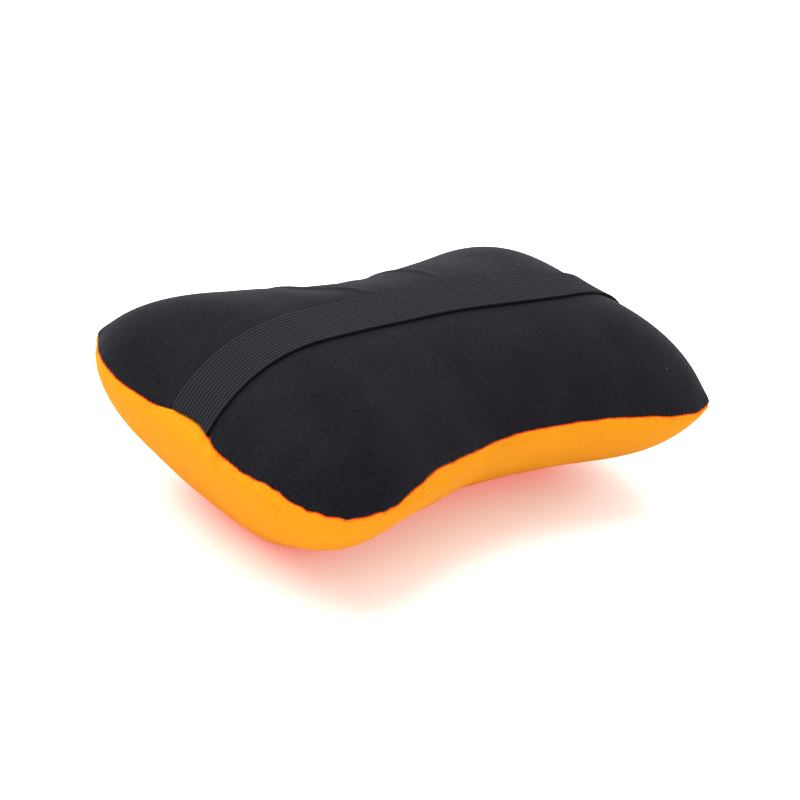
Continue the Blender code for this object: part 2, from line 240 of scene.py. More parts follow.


# %% [markdown]
# ## How the beads have settled
# Loose beads never fill a bag evenly: they settle in shallow lumps and hollows. A cloth simulation could
# blow the bag up, but it would lose the folded seam, and give no say in where the lumps come. So each one
# is given as a soft push on the form, and everything else is built on the pushed form.

# %% How the beads have settled
# Each lump: where it is, how far it reaches, and how it moves the skin, in millimetres.
LUMPS = [
    ((115, -10, 90), 35, (0, 0, -1)),
    ((0, 0, 103), 35, (0, 0, 1)),
    ((-140, -20, 25), 50, (2.5, 0, 1.5)),
    ((70, -78, 25), 48, (0, 2, 1.5)),
    ((-125, -80, 60), 40, (-1, 0, 0)),
    ((140, -70, 60), 35, (-2, -1, 0)),
    ((-148, 0, 60), 50, (-1, 0, 0)),
    ((80, 25, 100), 40, (0, 0, -2)),
    ((-42, 42, 97), 15, (0, 0, -2.2)),
    ((-8, 46, 95), 24, (0, 0, -1.5)),
    ((-80, -78, 32), 16, (0.5, 2, 1)),
    ((-143, 10, 35), 30, (1.5, 0, 0)),
    ((-128, 35, 88), 25, (0, 0, -1.5)),
    ((-90, -40, 90), 40, (0, 0, 0.5)),
    ((40, 45, 90), 40, (0, 0, 1.5)),
    ((-40, 45, 90), 40, (0, 0, 1)),
    ((-110, -52, 14), 24, (1.2, 1.8, 2.8)),
    ((-5, -52, 20), 30, (0, 1.6, 2.2)),
    ((42, -42, 12), 30, (0, 1.3, 2.2)),
    ((88, -52, 14), 30, (-0.6, 1.6, 2.6)),
    ((-60, -66, 28), 16, (0, 1.8, 1.6)),
    ((-127, 34, 22), 20, (1.2, 0, 0.8)),
    ((130, -85, 63), 7, (1.3, -1.5, 0.4)),
    ((-138, 77, 60), 12, (1.0, -1.1, 0)),
    ((-130, 86, 63), 6, (-0.9, 1.1, 0.6)),
]


def settled(point):
    """The form with its lumps and hollows."""
    place = point / MILLIMETRE
    for middle, reach, push in LUMPS:
        distance = np.sum((place - np.array(middle)) ** 2, -1)
        point = point + np.exp(-distance / reach**2)[..., None] * np.array(push) * MILLIMETRE
    return point


print("lumps:", len(LUMPS))

# %% [markdown]
# ## The skin
# Two numbers name each point of the skin: the turn says how far round it lies, and the tilt how far up or
# down. Crown and belly each have a profile of their own, fuller than a circle's, and the belly stops at
# the ground. It could be one subdivided box, but with the skin as a function, cloth, strap, thread and
# beads share one form.


# %% The skin
def skin(turn, tilt):
    """A point of the skin: tilt is 90 degrees on the crown's spine, 0 on the widest line, -90 under."""
    turn, tilt = np.broadcast_arrays(turn, tilt)
    reach = np.clip(np.cos(tilt), 0.0, 1.0)
    edge_x, edge_y = outline(turn)
    spine = np.clip(edge_x, -SPINE, SPINE)
    x = spine + (edge_x - spine) * reach
    y = edge_y * reach
    crown = (1 - reach ** CROWN_FULLNESS[0]) ** CROWN_FULLNESS[1]
    belly = (1 - reach ** BELLY_FULLNESS[0]) ** BELLY_FULLNESS[1]
    above = tilt >= 0
    full = np.where(above, crown, belly)
    corner = (x / HALF_LENGTH) ** 4 * (2 * y / WIDTH) ** 4
    girth = GIRTH_Z + CORNER_LIFT * corner * (1 - full)
    z = np.where(above, girth + (CROWN_Z - girth) * crown, girth - (girth + BELLY_SINK) * belly)
    point = settled(np.stack([x, y, z], -1))
    point[..., 2] = np.maximum(point[..., 2], 0.0)
    return point


print("height in the middle:", round(float(skin(np.array([np.pi / 2]), np.pi / 2)[0, 2]), 4), "m")

# %% [markdown]
# ## Straight out of the skin
# Cloth has thickness, and folds and ribs stand out from it, so each point also needs the direction
# straight out. That is the cross product of a small step round and a small step up. Two curves that many
# steps use, a smooth step and a bell, are kept here too.


# %% Straight out of the skin
def outward(turn, tilt):
    """The skin's outward direction."""
    turn, tilt = np.broadcast_arrays(np.asarray(turn, float), np.asarray(tilt, float))
    step = 1e-4
    lean = np.clip(tilt, -np.pi / 2 + 2 * step, np.pi / 2 - 2 * step)
    around = skin(turn + step, lean) - skin(turn - step, lean)
    climb = skin(turn, lean + step) - skin(turn, lean - step)
    normal = np.cross(around, climb)
    normal /= np.maximum(np.linalg.norm(normal, axis=-1, keepdims=True), 1e-15)
    on_spine = (np.abs(tilt) > np.pi / 2 - 1e-3)[..., None]
    return np.where(on_spine, np.sign(tilt)[..., None] * UP, normal)


def smooth(share):
    share = np.clip(share, 0.0, 1.0)
    return share * share * (3 - 2 * share)


def bump_at(place, middle, reach):
    """A soft bell, 1 at its middle and nearly 0 past reach."""
    return np.exp(-(((place - middle) / reach) ** 2))


print("a bell at its reach:", round(float(bump_at(1.0, 0.0, 1.0)), 2))

# %% [markdown]
# ## The seam
# Both panels are folded in and stitched back to back, so the seam is a tight groove between two soft
# rolls. It dips at the corners, and the strap, sewn in at both ends, draws it up there. The rule for its
# height is a tilt over the skin. Where a height is wanted instead, halving a range again and again finds
# its tilt.


# %% The seam line
def wander(walk, sizes, seed):
    """A soft irregular line round the pillow: waves of these lengths and heights, with seeded phases."""
    rng = np.random.default_rng(seed)
    total = np.zeros_like(walk)
    for length, height in sizes:
        for _ in range(2):
            count = max(1, round(4 * QUARTER / (length * rng.uniform(0.8, 1.25))))
            phase = rng.uniform(0, 2 * np.pi)
            total += height / 1.4 * np.sin(2 * np.pi * count * walk / (4 * QUARTER) + phase)
    return total


def seam_tilt(walk):
    turn = turn_of(walk)
    across = outline(turn)[1]
    at_ends = np.abs(np.cos(turn)) > np.cos(np.pi / 4)
    pull = np.where(at_ends, np.exp(-((across / STRAP_PULL_REACH) ** 4)), 0.0)
    return SEAM_RISE + SEAM_CORNER_DIP * np.cos(4 * turn) + STRAP_PULL * pull


def tilt_at_height(turn, height, low, high):
    """The tilt between low and high at which the skin is at that height."""
    low, high = np.full(turn.shape, float(low)), np.full(turn.shape, float(high))
    for _ in range(40):
        middle = (low + high) / 2
        under = skin(turn, middle)[..., 2] < height
        low = np.where(under, middle, low)
        high = np.where(under, high, middle)
    return (low + high) / 2


print("the seam dips to a tilt of", round(SEAM_RISE - SEAM_CORNER_DIP, 2), "at the corners")

# %% [markdown]
# ## A strap that isn't straight
# Elastic is sewn in by hand and then drags over the cloth, so it never lies dead straight. A few places
# along the pillow say how far it has slipped, and a short running average rounds the kinks between them.

# %% A strap that isn't straight
# Place along the pillow and slip towards the back, in millimetres.
STRAP_DRIFT = [
    (-150, -7.5), (-130, -5), (-115, -4), (-90, -3.5), (-60, -1.5),
    (0, -1.5), (60, -5), (90, -7), (120, -4), (150, 0),
]


def strap_drift(x):
    place, slip = np.array(STRAP_DRIFT, float).T * MILLIMETRE
    smoother = np.linspace(-0.015, 0.015, 7)
    return np.mean([np.interp(x + step, place, slip) for step in smoother], 0)


print("slip at the left end:", round(float(strap_drift(-HALF_LENGTH)), 4), "m")

# %% [markdown]
# ## Where the needle went
# A sewn line is never quite regular. It wanders a little all the way round, more at the left front
# corner, and in a few places it was sewn some millimetres high or low. Each needle hole also has a pull
# and a slip of its own. All of it comes from seeded random numbers, so that every run sews the same seam.

# %% Where the needle went
# Where the seam was sewn a little high or low: how far round from the left tip, reach and height in
# millimetres.
SEAM_SHIFTS = [
    (-45, 18, -2.5), (-18, 14, -4), (0, 12, -1), (25, 12, -3), (43, 9, -2.2),
    (90, 15, -1), (113, 18, -1.3), (153, 22, 2.1), (190, 25, -0.5), (250, 45, -1.4),
]
STITCHES = round(4 * QUARTER / STITCH)
PULLS = np.random.default_rng(3).uniform(0.6, 1.3, STITCHES)
SLIPS = np.random.default_rng(5).uniform(-1.0, 1.0, STITCHES)


def at_needle(walk, amounts):
    """A cusp at each needle hole, each with its own amount, and nothing half way along a stitch."""
    place = np.mod(walk, 4 * QUARTER) / (4 * QUARTER) * STITCHES
    nearest = np.round(place).astype(int) % STITCHES
    return amounts[nearest] * (1 - np.abs(np.sin(np.pi * place)))


def seam_shift(walk):
    total = wander(walk, [(0.045, 0.0002), (0.021, 0.0002)], 4)
    near_corner = bump_at(np.mod(walk, 4 * QUARTER), 2 * QUARTER + 0.088, 0.035)
    total += wander(walk, [(0.0095, 0.00024), (0.006, 0.00010)], 8) * (0.12 + near_corner)
    total += 0.00014 * at_needle(walk, SLIPS)
    for middle, reach, height in SEAM_SHIFTS:
        total += height * MILLIMETRE * bump_at(walk, 2 * QUARTER + middle * MILLIMETRE, reach * MILLIMETRE)
    return total


print("seam stitches:", STITCHES)

# %% [markdown]
# ## The seam and its two folds
# Above and below the seam each panel rolls in through a quarter turn. Where that roll begins depends on
# how steep the skin is there, and under the strap the upper fold begins higher, to leave a slot for it.
# One object works this out for a whole row of stations, and every sewn piece asks it.


# %% The seam and its folds
class Seam:
    """The seam at a row of stations: its height, the way in, and where each panel's fold begins."""

    def __init__(self, walk, folds=None):
        self.walk = np.asarray(walk, float)
        self.turn = turn_of(self.walk)
        self.point = skin(self.turn, seam_tilt(self.walk))
        self.point[:, 2] += seam_shift(self.walk)
        flat = outward(self.turn, np.zeros_like(self.turn)) * [1, 1, 0]
        self.inward = -flat / np.linalg.norm(flat, axis=-1, keepdims=True)
        edge_x, across = outline(self.turn)
        beside = np.abs(across - strap_drift(edge_x)) - STRAP_WIDTH / 2
        at_strap = np.where(np.abs(edge_x) > SPINE, 1 - smooth(beside / 0.004), 0.0)
        self.pull = at_needle(self.walk, PULLS)
        self.slot = {1: SEAM_GAP / 2 + at_strap * STRAP_THICKNESS, -1: SEAM_GAP / 2 + 0 * at_strap}
        self.fold_tilt = {}
        for side, low, high in ((1, 0.0, np.pi / 2), (-1, -np.pi / 2, np.pi / 2)):
            if folds is None:
                height = self.point[:, 2] + side * (ROLL + self.slot[side])
                self.fold_tilt[side] = tilt_at_height(self.turn, height, low, high)
            else:
                solved = folds.fold_tilt[side]
                self.fold_tilt[side] = np.interp(self.walk, folds.walk, solved, period=4 * QUARTER)
        self.fold = {side: skin(self.turn, tilt) for side, tilt in self.fold_tilt.items()}

    def at(self, depth, height):
        """Points this far in from the seam, and this far above it."""
        line = self.point + self.inward * np.broadcast_to(depth, self.turn.shape)[:, None]
        line[:, 2] += height
        return line


print("slot for the strap:", STRAP_THICKNESS, "m")

# %% [markdown]
# ## Solving the folds once
# Finding where a fold begins takes forty halvings, and the pieces ask for it at tens of thousands of
# stations. So it is solved once, at stations a quarter of a millimetre apart, and read between them from
# then on.

# %% Solving the folds once
FOLD_SPACING = 0.00025
FOLDS = Seam(np.arange(0, 4 * QUARTER, FOLD_SPACING))


def seam_at(walk):
    return Seam(walk, FOLDS)


print("stations solved:", len(FOLDS.walk))

# %% [markdown]
# ## Weaving a panel's mesh
# A dome with all its lines meeting at a pole pinches there. Instead the crown carries a plain grid, like
# cloth laid over it, whose rectangular edge is wrapped on to the outline. Near the seam the stations
# double, so that each stitch has room for its own small dent.


# %% A grid wrapped on to the form
def dome_grid(rows, middle):
    """Each grid point's walk, and its share of the way from the spine to the edge."""
    columns = np.arange(-middle - rows, middle + rows + 1)
    u, v = np.meshgrid(columns, np.arange(-rows, rows + 1), indexing="ij")
    over = np.clip(np.abs(u) - middle, 0, None)
    ring = np.maximum(np.abs(v), over)
    away = np.where(np.abs(v) <= over, np.abs(v) / np.maximum(over, 1), 2 - over / np.maximum(np.abs(v), 1))
    at_end = SPINE_WALK * away / 2
    x = np.abs(u) / middle * SPINE
    at_middle = np.interp(-x, -quarter_x, QUARTER_WALK)
    walk = np.where(over > 0, at_end, at_middle)
    walk = np.where(u < 0, 2 * QUARTER - walk, walk)
    walk = np.where(v < 0, 4 * QUARTER - walk, walk)
    return walk, ring / rows


def grid_faces(n_u, n_v):
    index = np.arange(n_u * n_v).reshape(n_u, n_v)
    return np.stack([index[:-1, :-1], index[1:, :-1], index[1:, 1:], index[:-1, 1:]], -1).reshape(-1, 4)


def grid_rim(n_u, n_v):
    """The grid's edge as one loop, anticlockwise from the middle of the right end."""
    index = np.arange(n_u * n_v).reshape(n_u, n_v)
    half = n_v // 2
    return np.concatenate([
        index[-1, half:-1], index[:0:-1, -1], index[0, :0:-1], index[:-1, 0], index[-1, :half],
    ])


print("a 5 x 3 grid has a rim of", len(grid_rim(5, 3)), "points")

# %% [markdown]
# ## A mesh ring by ring
# Every sewn piece grows the same way: a ring of points, the next ring, and faces between the two. A small
# class keeps the points, their places on the cut cloth and the faces until the piece is whole. Then bmesh
# turns all faces outwards, and the places on the cut cloth become the UV map that the patterns follow.


# %% Putting meshes together ring by ring
class Sheet:
    """Points, faces and flat-pattern places of a mesh in the making."""

    def __init__(self):
        self.points, self.flat, self.faces, self.count = [], [], [], 0

    def add(self, points, flat):
        start = self.count
        self.points.append(points)
        self.flat.append(flat)
        self.count += len(points)
        return np.arange(start, self.count)

    def bridge(self, a, b):
        """Faces between two closed rings, the second with as many stations or with twice as many."""
        if len(a) == len(b):
            self.faces += np.stack([a, np.roll(a, -1), np.roll(b, -1), b], -1).tolist()
        else:
            self.faces += np.stack([a, np.roll(a, -1), np.roll(b, -2)[::2], b[1::2], b[::2]], -1).tolist()


def doubled(values):
    """A ring with one more station half way between each two."""
    after = np.roll(values, -1, 0)
    if values.ndim == 1:
        after = np.where(after < values, after + 4 * QUARTER, after)
    return np.stack([values, (values + after) / 2], 1).reshape(-1, *values.shape[1:])


def finish_mesh(name, sheet):
    """A smooth-shaded object from a sheet, with its flat pattern as the UV map, facing outwards."""
    flat = np.concatenate(sheet.flat)
    mesh = bpy.data.meshes.new(name)
    mesh.from_pydata(np.concatenate(sheet.points).tolist(), [], sheet.faces)
    uv = mesh.uv_layers.new(name="flat_pattern")
    corner = np.zeros(len(mesh.loops), int)
    mesh.loops.foreach_get("vertex_index", corner)
    uv.data.foreach_set("uv", flat[corner].astype(np.float32).ravel())
    shape = bmesh.new()
    shape.from_mesh(mesh)
    bmesh.ops.recalc_face_normals(shape, faces=shape.faces)
    shape.to_mesh(mesh)
    shape.free()
    mesh.shade_smooth()
    piece = bpy.data.objects.new(name, mesh)
    bpy.context.scene.collection.objects.link(piece)
    triangles = sum(len(p.vertices) - 2 for p in mesh.polygons)
    print(name, "triangles:", triangles, "flat:", np.ptp(flat, axis=0).round(4), "m")
    return piece


# %% [markdown]
# ## Folds and puckers in the cloth
# Stretch knit over loose beads is nearly smooth. What there is comes from sewing: small gathers along the
# seam, a fan of puckers beside the strap's end, and a few soft folds where the waist pulls at the crown.
# Each is a small height added along the skin's own direction.

# %% Soft folds
# Soft folds in the black knit: from, to, half width and height, in millimetres, seen from above.
CREASES = [
    ((-52, 66), (-24, 13), 2.6, 0.9),
    ((17, 66), (24, 15), 2.6, 0.8),
    ((-10, 70), (-4, 40), 5.0, 0.5),
    ((95, 62), (70, 40), 6.0, 0.4),
]


def fold_line(x, y, start, end, reach, height):
    """A soft ridge along a line, fading at both its ends."""
    start, end = np.array(start) * MILLIMETRE, np.array(end) * MILLIMETRE
    line = end - start
    along = ((x - start[0]) * line[0] + (y - start[1]) * line[1]) / (line @ line)
    nearest = np.clip(along, 0, 1)
    away = np.hypot(x - start[0] - nearest * line[0], y - start[1] - nearest * line[1])
    fade = smooth((1 - along) / 0.35) * smooth((along + 0.1) / 0.3)
    return height * MILLIMETRE * np.exp(-((away / (reach * MILLIMETRE)) ** 2)) * fade


print("soft folds:", len(CREASES))

# %% [markdown]
# ## Relief of the cloth
# All the small heights are added up in one place. The black knit has fine gathers at the seam, its soft
# folds, and a shallow bed for the strap. The orange knit has deeper gathers, and a fan of puckers that
# dies away from the strap's left end. Both have a very soft swell from the beads behind them.

# %% Relief of the cloth
STRAP_BED = 0.0002
PUCKERS_AT = 0.026  # how far round from the left tip the fan of puckers is
PUCKERS_REACH = 0.012
PUCKER = 0.0006
BEAD_SWELL = 0.00025


def relief(side, walk, down, point):
    """How far the cloth stands out from the smooth form. down is the distance to the seam along the cloth."""
    x, y = point[..., 0], point[..., 1]
    if side > 0:
        out = wander(walk, [(0.017, 0.00010), (0.009, 0.00008)], 11) * np.exp(-down / 0.006)
        for start, end, reach, height in CREASES:
            out += fold_line(x, y, start, end, reach, height)
        under_strap = np.exp(-((np.abs(y - strap_drift(x)) / 0.0165) ** 6))
        out -= STRAP_BED * under_strap * smooth((0.128 - np.abs(x)) / 0.012)
    else:
        round_left = np.mod(walk, 4 * QUARTER) - 2 * QUARTER
        near_strap = bump_at(round_left, PUCKERS_AT, PUCKERS_REACH)
        gathers = wander(walk, [(0.019, 0.00016), (0.0105, 0.00018)], 12)
        out = gathers * (1 + 1.2 * near_strap) * np.exp(-down / 0.010)
        out += PUCKER * near_strap * np.cos((round_left - PUCKERS_AT) / 0.0019) * np.exp(-down / 0.014)
    out += BEAD_SWELL * np.sin(x / 0.031 + 1.3) * np.sin(y / 0.024 + 0.4) * smooth(down / 0.03)
    return out


print("puckers stand", PUCKER, "m out at most")

# %% [markdown]
# ## The two knit panels
# Each panel is one closed body: an outer face, the fold at the seam, the allowance inside, and back along
# the inner face. Seen in section it is a letter C with a hooked end, as sewn cloth is. The dome comes
# first, and with it each point's place on the flat cloth, found by measuring along the skin from the
# spine.


# %% The dome of a panel
def flat_pattern(turn, spine, tilt):
    """Where each point lay on the cut cloth, before it was stuffed, and the way towards the edge there."""
    steps = [skin(turn, spine + (tilt - spine) * k / 16) for k in range(17)]
    length = sum(np.linalg.norm(b - a, axis=-1) for a, b in zip(steps, steps[1:]))
    edge = np.stack(outline(turn), -1)
    start = np.stack([np.clip(edge[:, 0], -SPINE, SPINE), 0 * edge[:, 0]], -1)
    away = (edge - start) / np.linalg.norm(edge - start, axis=-1, keepdims=True)
    return start + away * length[:, None], away


def add_dome(sheet, side, rows, middle, edge_of, place_of):
    """Lay the grid over the form as far as edge_of says, and give its rim."""
    walk, share = dome_grid(rows, middle)
    size = walk.shape
    walk, share = walk.ravel(), share.ravel()
    seam = seam_at(walk)
    spine = side * np.pi / 2
    tilt = spine + (edge_of(seam) - spine) * share
    flat, away = flat_pattern(seam.turn, spine, tilt)
    first = sheet.add(place_of(seam, tilt, share), flat)[0]
    sheet.faces += (grid_faces(*size) + first).tolist()
    rim = grid_rim(*size)
    return rim + first, walk[rim], flat[rim], away[rim]


def add_rings(sheet, last, lines, flat, away):
    """Carry on from a rim through more rings, walking the flat pattern outwards as they go."""
    walked = np.zeros(len(flat))
    before = lines[0]
    for line in lines:
        walked = walked + np.linalg.norm(line - before, axis=-1)
        before = line
        ring = sheet.add(line, flat + away * walked[:, None])
        sheet.bridge(last, ring)
        last = ring
    return last


print("a dome of 5 rows has", len(grid_faces(*dome_grid(5, 5)[0].shape)), "faces")

# %% [markdown]
# ## The edge of a panel
# Near the seam the cloth comes down as a wall, rolls in through a quarter turn and runs on inside as the
# allowance. Each stitch draws the roll in where the needle went through. The row of small dents that this
# leaves is what makes an edge look sewn and not cut.

# %% The edge of a panel
NEEDLE_DENT = 0.00042
DENT_REACH = 0.0014


def wall_lines(seam, side, depth, count, rim_tilt):
    """The last of the wall down to the fold, dented at each needle hole."""
    lines = []
    fold = seam.fold_tilt[side]
    for k in range(1, count + 1):
        tilt = rim_tilt + (fold - rim_tilt) * k / count
        point = skin(seam.turn, tilt)
        down = np.linalg.norm(seam.fold[side] - point, axis=-1)
        stand = relief(side, seam.walk, down, point) - NEEDLE_DENT * seam.pull * np.exp(-down / DENT_REACH)
        lines.append(point + outward(seam.turn, tilt) * (stand - depth)[:, None])
    return lines


def fold_lines(seam, side, depth, count):
    """The quarter roll into the seam, and the allowance behind it."""
    stand = relief(side, seam.walk, 0 * seam.walk, seam.fold[side])
    centre = seam.fold[side] + seam.inward * (ROLL - stand)[:, None]
    lines = []
    for k in range(1, count + 1):
        angle = np.pi / 2 * k / count
        radius = ROLL - depth - NEEDLE_DENT * seam.pull * math.cos(angle)
        lines.append(centre - seam.inward * (radius * math.cos(angle))[:, None]
                     - side * UP * (radius * math.sin(angle))[:, None])
    tail = seam.at(ALLOWANCE, 0.0)
    tail[:, 2] = lines[-1][:, 2]
    return lines + [tail]


print("needle dents:", NEEDLE_DENT, "m deep")

# %% [markdown]
# ## A whole panel
# The outer face is a close grid. The inner face lies a cloth's thickness in and is half as fine, because
# nobody sees it. Both run over the fold to the end of the allowance and are joined there, so the panel is
# one closed body with a real thickness, and not a skin with nothing behind it.

# %% A whole panel
GROUND_GAP = 0.0002
WALL_SHARE = 0.05  # the last part of the way from the spine to the fold, made as rings and not as grid
# Each face of a panel: depth in the cloth, grid rows, grid columns in the middle, rings of wall, rings of
# roll.
FACES = [(0.0, 76, 68, 5, 6), (CLOTH, 38, 34, 2, 2)]


def near_fold(seam, side):
    return seam.fold_tilt[side] + (side * np.pi / 2 - seam.fold_tilt[side]) * WALL_SHARE


def make_panel(name, side):
    sheet = Sheet()
    tails = []
    for depth, rows, middle, wall, curl in FACES:

        def place(seam, tilt, share):
            rest = np.linalg.norm(seam.fold[side] - skin(seam.turn, near_fold(seam, side)), axis=-1)
            point = skin(seam.turn, tilt)
            stand = relief(side, seam.walk, rest + (1 - share) * 0.1, point) - depth
            point += outward(seam.turn, tilt) * stand[:, None]
            point[:, 2] = np.maximum(point[:, 2], GROUND_GAP + depth)
            return point

        last, walk, flat, away = add_dome(
            sheet, side, rows, middle, lambda seam: near_fold(seam, side), place)
        seam = seam_at(doubled(walk))
        lines = wall_lines(seam, side, depth, wall, near_fold(seam, side))
        lines += fold_lines(seam, side, depth, curl)
        tails.append(add_rings(sheet, last, lines, doubled(flat), doubled(away)))
    sheet.bridge(tails[1], tails[0])
    return finish_mesh(name, sheet)


top_knit = make_panel("top_knit", 1)
bottom_knit = make_panel("bottom_knit", -1)

# %% [markdown]
# ## The inner bag and the beads
# Inside the panels hangs a thin white bag with the beads in it. It can't be seen, but it follows the
# lumps of the outer cloth, so it is made on the same form: a coarser grid, set in from the panel, that
# runs over the allowances to a seam of its own. The beads are one mass that fills the bag.

# %% The inner bag
LINER = 0.0005
LINER_DEPTH = 0.0030
BEAD_DEPTH = LINER_DEPTH + LINER + 0.0003
LINER_SEAM = ALLOWANCE + 0.0072
OVERLOCK_ROOM = 0.0021  # room between the allowance and the bag, for the edge stitching
BAG_GAP = 0.00015  # half the gap between the bag's two halves at their seam
BAG_ALLOWANCE = 0.0040


def add_bag_half(sheet, side, depth):
    """One face of the bag, from the middle out and in again over the allowances, as far as its own seam."""
    more = depth - LINER_DEPTH

    def over(seam):
        return seam.slot[side] + CLOTH + OVERLOCK_ROOM

    def edge(seam):
        height = seam.point[:, 2] + side * (over(seam) + 2 * ROLL)
        return tilt_at_height(seam.turn, height, -np.pi / 2, np.pi / 2)

    def place(seam, tilt, share):
        point = skin(seam.turn, tilt) - outward(seam.turn, tilt) * depth
        point[:, 2] = np.maximum(point[:, 2], GROUND_GAP + depth)
        return point

    last, walk, flat, away = add_dome(sheet, side, 24, 21, edge, place)
    seam = seam_at(walk)
    start = np.sum((seam.fold[side] - seam.point) * seam.inward, -1) + depth + 0.0040
    lines = [
        seam.at(start, side * (over(seam) + more)),
        seam.at(ALLOWANCE + 0.0018, side * (over(seam) + more)),
        seam.at(LINER_SEAM, side * (BAG_GAP + more)),
    ]
    return add_rings(sheet, last, lines, flat, away), seam, flat


print("inner bag:", LINER, "m thick,", LINER_DEPTH, "m inside the skin")

# %% [markdown]
# ## Closing the bag and filling it
# Each half of the bag is made of two faces, joined at its edge. The beads are two faces as well, an upper
# and a lower one, that meet inside the bag's seam. Thousands of loose beads could be scattered inside
# instead, but they would weigh the file down for something that nobody sees.


# %% Closing the bag and filling it
def make_liner(name, side):
    sheet = Sheet()
    ends = []
    for depth in (LINER_DEPTH, LINER_DEPTH + LINER):
        last, seam, flat = add_bag_half(sheet, side, depth)
        ring = sheet.add(seam.at(LINER_SEAM + BAG_ALLOWANCE, side * (BAG_GAP + depth - LINER_DEPTH)), flat)
        sheet.bridge(last, ring)
        ends.append(ring)
    sheet.bridge(*ends)
    return finish_mesh(name, sheet)


def make_beads():
    sheet = Sheet()
    ends = []
    for side in (1, -1):
        last, seam, flat = add_bag_half(sheet, side, BEAD_DEPTH)
        ring = sheet.add(seam.at(LINER_SEAM + 0.0046, side * 0.0017), flat)
        sheet.bridge(last, ring)
        ends.append(ring)
    sheet.bridge(*ends)
    return finish_mesh("beads", sheet)


inner_bag_upper = make_liner("inner_bag_upper", 1)
inner_bag_lower = make_liner("inner_bag_lower", -1)
beads = make_beads()

# %% [markdown]
# ## Where the strap runs
# The strap follows the crown, slips a little sideways, and turns down the end into the seam. Its line at
# one place across is not simple: going down the end, the tilt and the way round change together. A few
# rounds of correcting one by the other settle it.

# %% Where the strap runs
HALF_STRAP = STRAP_WIDTH / 2
END_STEPS = 60
TOP_STEPS = 50


def walk_at_across(across):
    return np.interp(across, quarter_y[rising], QUARTER_WALK[rising])


def signed_walk(walk, end, across):
    """A walk in the first quarter, mirrored to the left end and to the front where they ask for it."""
    walk = walk if end > 0 else 2 * QUARTER - walk
    return np.mod(np.where(across < 0, 4 * QUARTER - walk, walk), 4 * QUARTER)


def strap_path(across, end):
    """The line over the skin at one place across the strap, from the pillow's middle to one end."""
    x = np.linspace(0, SPINE, TOP_STEPS)
    y = across + strap_drift(end * x)
    walk = np.interp(-x, -quarter_x, QUARTER_WALK)
    tilt = np.arccos(np.abs(y) / np.interp(walk, QUARTER_WALK, quarter_y))
    top_walk, top_tilt = signed_walk(walk, end, y)[:-1], tilt[:-1]
    y_seam = across + strap_drift(end * HALF_LENGTH)
    seam = seam_at(signed_walk(np.array([walk_at_across(abs(y_seam))]), end, y_seam))
    tilt = np.linspace(tilt[-1], seam.fold_tilt[1][0], END_STEPS + 1)
    y = np.full(END_STEPS + 1, y[-1])
    for _ in range(6):
        walk = walk_at_across(np.abs(y) / np.cos(tilt))
        x = SPINE + (np.interp(walk, QUARTER_WALK, quarter_x) - SPINE) * np.cos(tilt)
        y = across + strap_drift(end * x)
    walk = np.concatenate([top_walk, signed_walk(walk, end, y)])
    tilt = np.concatenate([top_tilt, tilt])
    turn = turn_of(walk)
    return skin(turn, tilt), outward(turn, tilt), seam


print("the strap leaves the crown", round(SPINE, 4), "m from the middle")

# %% [markdown]
# ## The strap
# Ribbed knitted elastic, an inch wide, with fourteen cords of rubber running along it. The ribs are
# modelled, because they catch the light one by one, where a bump alone would look flat at the strap's
# edge. Lines along the strap are laid over the skin side by side, over the fold and in to the end of each
# tail, and then joined.

# %% Strap
RIBS = 14
RIB_HEIGHT = 0.00036
LINES_PER_RIB = 6
STRAP_STATIONS = 130  # along each half
CURL_STEPS = 6
STRAP_GAP = 0.00014  # from the skin to the strap, in its middle
EDGE_LIFT = 0.0003  # how much more its two edges stand off


def strap_section(across_share):
    """Height of the strap's upper face above its lower face, over its width from -1 to 1."""
    rib = np.abs(np.cos(np.pi * RIBS * (across_share + 1) / 2 + np.pi / 2)) ** 0.7
    edge = np.clip((1 - np.abs(across_share)) / 0.03, 0, 1) ** 0.5
    return (STRAP_THICKNESS - RIB_HEIGHT) * (0.5 + 0.5 * edge) + RIB_HEIGHT * rib * edge


def strap_half(across, end, height):
    """Half a line along the strap, from the middle to the end of its tail, and the length so far."""
    point, normal, seam = strap_path(across, end)
    inward = seam.inward[0]
    centre = seam.fold[1][0] + inward * ROLL
    arc = []
    for k in range(1, CURL_STEPS + 1):
        angle = np.pi / 2 * k / CURL_STEPS
        arc.append(centre - (inward * math.cos(angle) + UP * math.sin(angle)) * (ROLL + height))
    tail = arc[-1] + inward * (ALLOWANCE - ROLL)
    line = np.vstack([point + normal * height, arc, [tail]])
    walked = np.concatenate([[0], np.cumsum(np.linalg.norm(np.diff(line, axis=0), axis=-1))])
    even = np.linspace(0, walked[-1], STRAP_STATIONS + 1)
    return np.stack([np.interp(even, walked, line[:, i]) for i in range(3)], -1), even


def strap_line(across_share, upper):
    """A whole line along the strap, from tail to tail, and where it lies on the flat strap."""
    across = across_share * HALF_STRAP
    height = STRAP_GAP + EDGE_LIFT * abs(across_share) ** 3
    if upper:
        height = height + strap_section(np.array([across_share]))[0]
    right_line, right_walk = strap_half(across, 1, height)
    left_line, left_walk = strap_half(across, -1, height)
    along = np.concatenate([-left_walk[:0:-1], right_walk])
    return np.vstack([left_line[:0:-1], right_line]), np.stack([along, 0 * along + across], -1)


